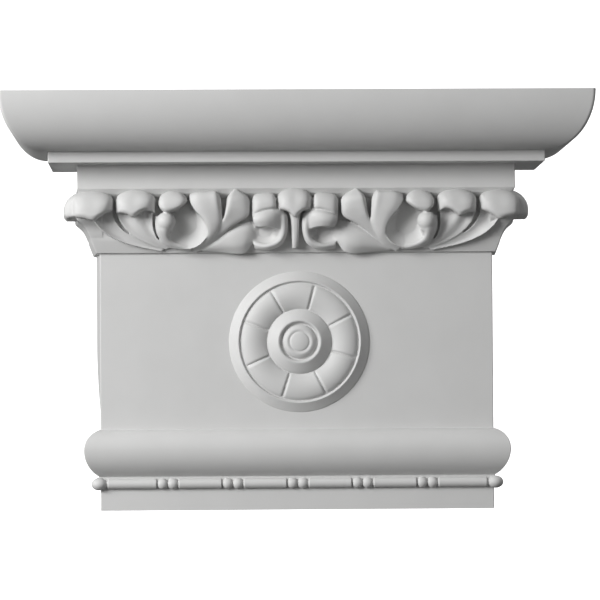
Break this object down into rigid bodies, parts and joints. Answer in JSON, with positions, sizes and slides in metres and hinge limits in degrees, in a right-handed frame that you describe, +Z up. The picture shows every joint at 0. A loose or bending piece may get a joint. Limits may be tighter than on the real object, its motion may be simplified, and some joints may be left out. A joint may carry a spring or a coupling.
{
  "type": "pilaster capital",
  "caption": "Moulded pilaster capital: ovolo crown, band of curled leaves, rosette and bead-and-reel, flat at the back and underside.",
  "frame": {"origin": "middle of the underside, where the capital sits on the pilaster", "axes": "+X along the front to the viewer's right, +Y into the wall, +Z up"},
  "size_m": [0.3408, 0.103, 0.239],
  "materials": {
    "white_primer": "factory white primer, fine satin matte"
  },
  "bodies": {
    "root": {"capital": "white_primer"}
  },
  "joints": []
}
